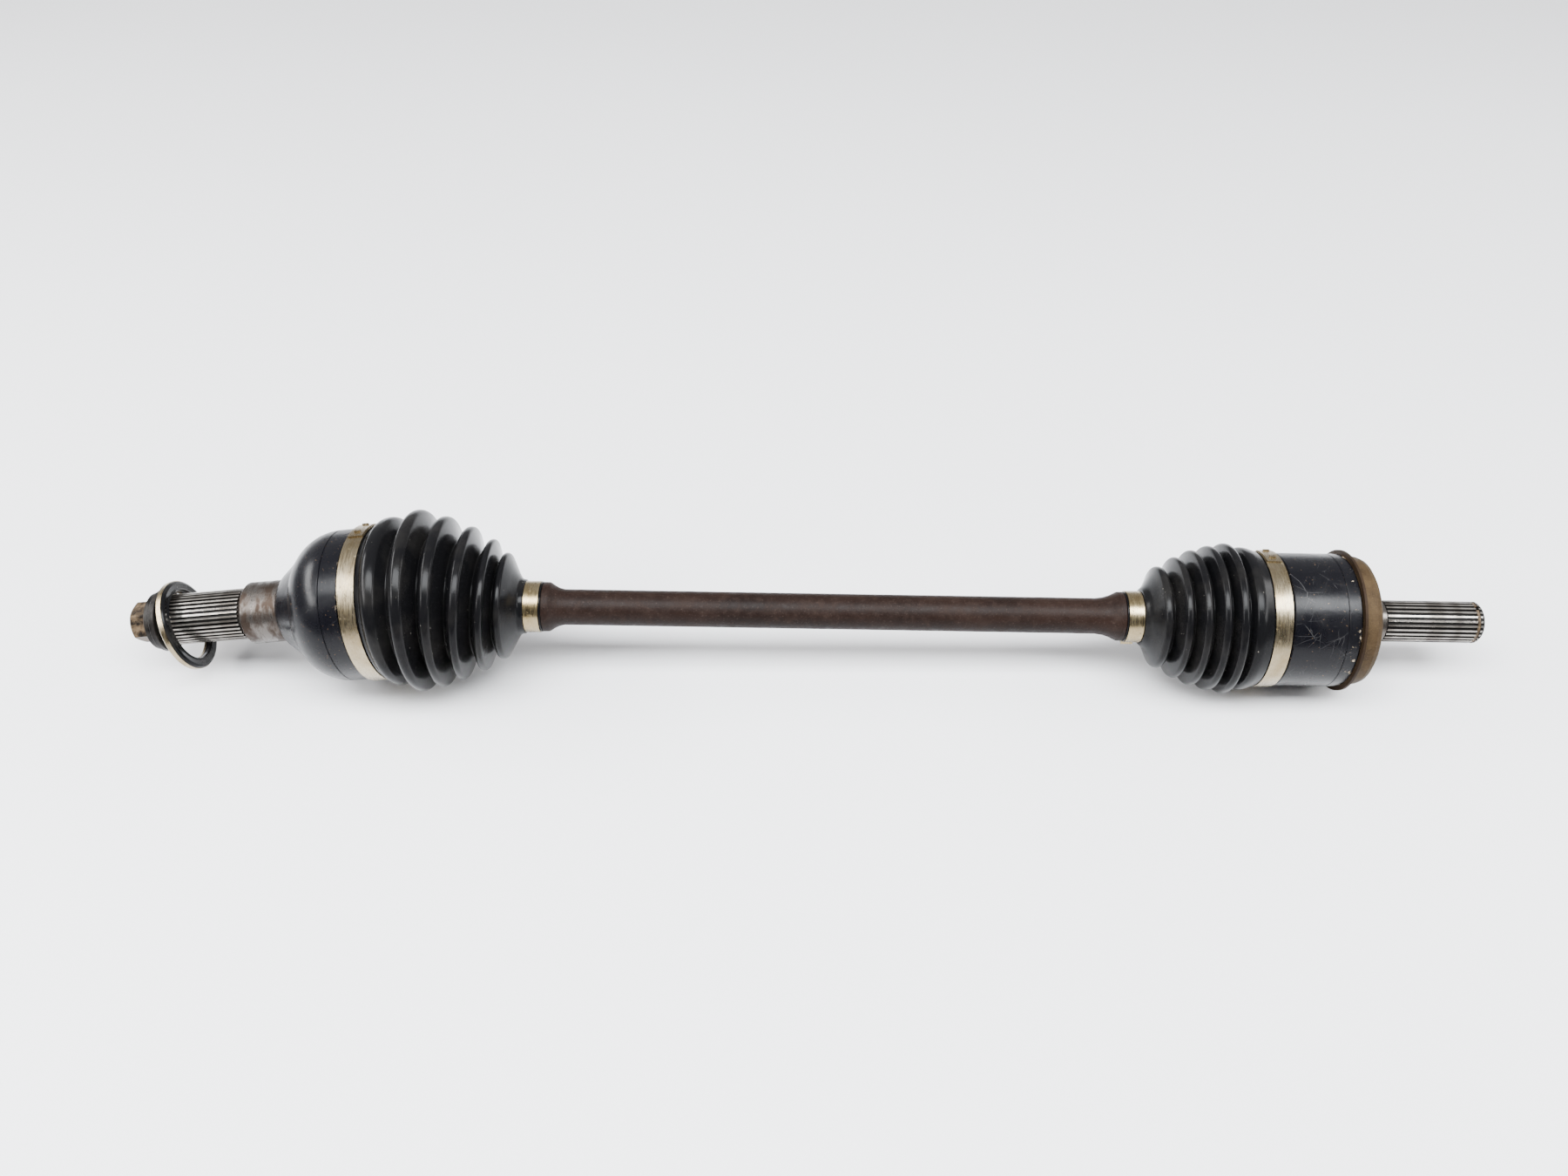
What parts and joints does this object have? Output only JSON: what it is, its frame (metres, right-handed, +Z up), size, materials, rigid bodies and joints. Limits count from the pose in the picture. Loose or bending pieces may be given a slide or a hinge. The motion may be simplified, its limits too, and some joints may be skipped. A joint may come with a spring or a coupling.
{
  "type": "cv axle",
  "caption": "Drive axle with a ball joint at each end of a bar: a bell joint with a splined hub stub, a plunging joint with a splined gearbox stub, bellows boots and band clamps.",
  "frame": {"origin": "on the bar's axis, at the middle of the seal journal on the gearbox end's stub", "axes": "+X along the bar from the hub end to the gearbox end, +Z up as the axle lies on a bench, +Y to the back"},
  "size_m": [0.7741, 0.1052, 0.1052],
  "materials": {
    "bell_paint": "black gloss paint over forged steel, scratched",
    "housing_paint": "black gloss paint over forged steel, scratched",
    "bar_steel": "dark paint with an even film of brown rust",
    "rubber": "black satin boot rubber",
    "clamp_zinc": "pale gold zinc plate, lightly tarnished",
    "shield_steel": "bare pressed steel with an even brown rust",
    "bolt_steel": "dull steel, dark with old oil and rust",
    "bearing_steel": "ground and polished, greased",
    "spring_steel": "oiled spring steel"
  },
  "bodies": {
    "bar": {"shaft": "bar_steel", "outer_race": "bearing_steel", "outer_race_circlip": "spring_steel", "inner_race": "bearing_steel", "inner_race_circlip": "spring_steel", "outer_boot": "rubber", "inner_boot": "rubber", "outer_boot_clamp_small": "clamp_zinc", "inner_boot_clamp_small": "clamp_zinc"},
    "outer_top_ball": {"outer_ball_1": "bearing_steel"},
    "outer_cage": {"outer_cage": "bearing_steel", "outer_ball_2": "bearing_steel", "outer_ball_3": "bearing_steel", "outer_ball_5": "bearing_steel", "outer_ball_6": "bearing_steel"},
    "outer_bottom_ball": {"outer_ball_4": "bearing_steel"},
    "bell": {"outer_bell": "bell_paint", "outer_boot_clamp_large": "clamp_zinc", "hub_flat_washer": "clamp_zinc", "hub_spring_washer": "bolt_steel", "hub_bolt": "bolt_steel"},
    "seal_ring": {"seal_ring_plate": "clamp_zinc", "seal_ring_rubber": "rubber"},
    "inner_cage": {"inner_cage": "bearing_steel", "inner_ball_2": "bearing_steel", "inner_ball_3": "bearing_steel", "inner_ball_5": "bearing_steel", "inner_ball_6": "bearing_steel"},
    "inner_ball_pair": {"inner_ball_1": "bearing_steel", "inner_ball_4": "bearing_steel"},
    "housing": {"inner_housing": "housing_paint", "inner_wire_ring": "spring_steel", "dust_shield": "shield_steel", "inner_stub_circlip": "spring_steel", "inner_boot_clamp_large": "clamp_zinc"}
  },
  "joints": [
    {"name": "outer_pitch", "type": "hinge", "parent": "bar", "child": "outer_top_ball", "pos_m": [-0.577, 0, 0], "axis": [0, 1, 0], "range_deg": [-9, 17], "deforming": ["outer_boot"]},
    {"name": "outer_yaw", "type": "hinge", "parent": "outer_top_ball", "child": "outer_cage", "pos_m": [-0.577, 0, 0], "axis": [-0.061, 0, 0.9981], "range_deg": [-13, 13]},
    {"name": "outer_yaw_far_half", "type": "hinge", "parent": "outer_cage", "child": "outer_bottom_ball", "pos_m": [-0.577, 0, 0], "axis": [-0.061, 0, 0.9981], "range_deg": [-13, 13]},
    {"name": "outer_pitch_far_half", "type": "hinge", "parent": "outer_bottom_ball", "child": "bell", "pos_m": [-0.577, 0, 0], "axis": [0, 1, 0], "range_deg": [-9, 17]},
    {"name": "seal_ring_slide", "type": "slide", "parent": "bell", "child": "seal_ring", "axis": [0.9903, 0, 0.1392], "range_m": [-0.0003, 0.014]},
    {"name": "inner_pitch", "type": "hinge", "parent": "bar", "child": "inner_cage", "pos_m": [-0.048, 0, 0], "axis": [0, 1, 0], "range_deg": [-15, 15], "deforming": ["inner_boot"]},
    {"name": "inner_yaw", "type": "hinge", "parent": "inner_cage", "child": "inner_ball_pair", "pos_m": [-0.048, 0, 0], "axis": [0, 0, 1], "range_deg": [-15, 15]},
    {"name": "inner_plunge", "type": "slide", "parent": "inner_ball_pair", "child": "housing", "axis": [1, 0, 0], "range_m": [-0.009, 0.009]}
  ],
  "couplings": [
    {"joint": "outer_yaw_far_half", "follows": "outer_yaw", "ratio": 1},
    {"joint": "outer_pitch_far_half", "follows": "outer_pitch", "ratio": 1}
  ]
}
